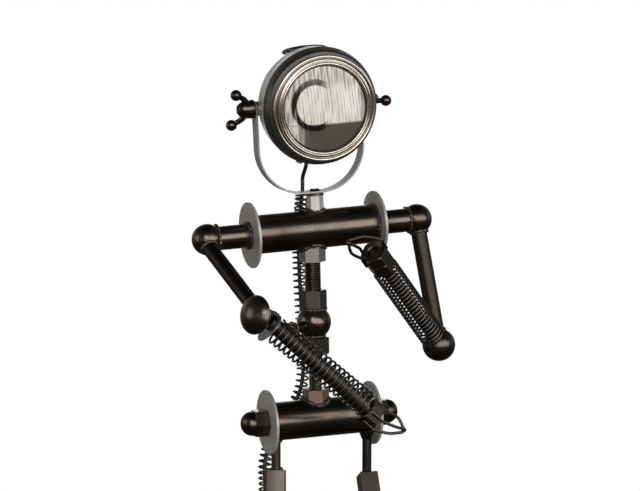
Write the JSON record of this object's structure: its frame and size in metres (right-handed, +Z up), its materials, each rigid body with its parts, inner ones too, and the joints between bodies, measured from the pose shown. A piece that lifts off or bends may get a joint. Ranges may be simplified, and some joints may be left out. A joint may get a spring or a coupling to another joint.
{
  "type": "floor lamp",
  "caption": "Floor lamp in the shape of a standing robot, welded from bar, pipe, nuts and springs, with a headlamp for a head that tilts and swivels.",
  "frame": {"origin": "middle of the lamp's bounding box on the floor, without the cord behind it", "axes": "-Y the way the robot faces, +X to the robot's left, +Z up"},
  "size_m": [0.4777, 0.4417, 1.5572],
  "materials": {
    "dark_steel": "satin black-bronze lacquer over steel",
    "mid_steel": "satin grey lacquer over steel",
    "light_steel": "bare brushed steel",
    "brown_steel": "satin lacquer over heat-tinted steel",
    "shell_grey": "satin grey",
    "warm_chrome": "warm polished metal",
    "clear_glass": "clear fluted",
    "frosted_glass": "frosted",
    "mirror_silver": "vacuum-coated",
    "cream_ceramic": "glazed",
    "spring_steel": "oiled dark spring wire",
    "black_rubber": "matt",
    "black_plastic": "fine-grained"
  },
  "bodies": {
    "robot": {"swivel_bolt": "dark_steel", "neck_washer": "dark_steel", "neck_nut": "light_steel", "shoulder_tube": "dark_steel", "shoulder_washers": "mid_steel", "shoulder_stubs": "dark_steel", "shoulder_balls": "dark_steel", "upper_arm_right": "dark_steel", "upper_arm_left": "dark_steel", "elbow_dome": "dark_steel", "elbow_washer": "mid_steel", "elbow_hub": "dark_steel", "elbow_ball": "dark_steel", "forearm_rod_right": "dark_steel", "forearm_rod_left": "dark_steel", "forearm_spring_right": "spring_steel", "forearm_spring_left": "spring_steel", "hand_nut_right": "dark_steel", "hand_nuts_left": "dark_steel", "fingers_right": "spring_steel", "fingers_left": "spring_steel", "spine_block": "mid_steel", "upper_spine_rod": "dark_steel", "coupling_nut": "dark_steel", "waist_ball": "dark_steel", "waist_nut": "dark_steel", "lower_spine_rod": "dark_steel", "hip_nut": "brown_steel", "hip_tube": "dark_steel", "hip_washers": "mid_steel", "dome_nuts": "dark_steel", "thigh_rods": "dark_steel", "thigh_bars": "dark_steel", "knee_balls": "dark_steel", "shin_bars": "dark_steel", "ankle_nuts": "dark_steel", "feet": "dark_steel", "cable_sleeve": "spring_steel", "sleeve_clips": "dark_steel", "lamp_lead": "black_rubber", "cord": "black_rubber", "cord_coil": "black_rubber", "plug": "black_plastic", "cord_switch": "black_plastic"},
    "yoke": {"yoke": "mid_steel", "yoke_lead": "black_rubber"},
    "head": {"rear_shell": "shell_grey", "front_drum": "dark_steel", "bezel": "warm_chrome", "lens_glass": "clear_glass", "reflector": "mirror_silver", "bulb_holder": "cream_ceramic", "bulb": "frosted_glass", "vent_cap": "dark_steel", "cable_grommet": "black_rubber", "tilt_studs": "dark_steel", "head_lead": "black_rubber"},
    "wing_nut_right": {"wing_nut_right": "dark_steel"},
    "wing_nut_left": {"wing_nut_left": "dark_steel"},
    "rocker": {"switch_rocker": "black_plastic"}
  },
  "joints": [
    {"name": "neck_swivel", "type": "hinge", "parent": "robot", "child": "yoke", "pos_m": [-0.0083, 0.0937, 1.28423], "axis": [-0.0523, 0, 0.9986], "range_deg": [-30, 30], "deforming": ["yoke_lead"]},
    {"name": "head_tilt", "type": "hinge", "parent": "yoke", "child": "head", "pos_m": [-0.02282, 0.0937, 1.44669], "axis": [0.9983, -0.0262, 0.0523], "range_deg": [-20, 25], "deforming": ["head_lead"]},
    {"name": "wing_turn_right", "type": "hinge", "parent": "head", "child": "wing_nut_right", "pos_m": [-0.02282, 0.0937, 1.44669], "axis": [0.9983, -0.0262, 0.0523], "range_deg": [0, 360]},
    {"name": "wing_turn_left", "type": "hinge", "parent": "head", "child": "wing_nut_left", "pos_m": [-0.02282, 0.0937, 1.44669], "axis": [0.9983, -0.0262, 0.0523], "range_deg": [0, 360]},
    {"name": "rocker_press", "type": "hinge", "parent": "robot", "child": "rocker", "pos_m": [-0.0091, 0.2577, 0.015], "axis": [0, 1, 0], "range_deg": [0, 16]}
  ]
}
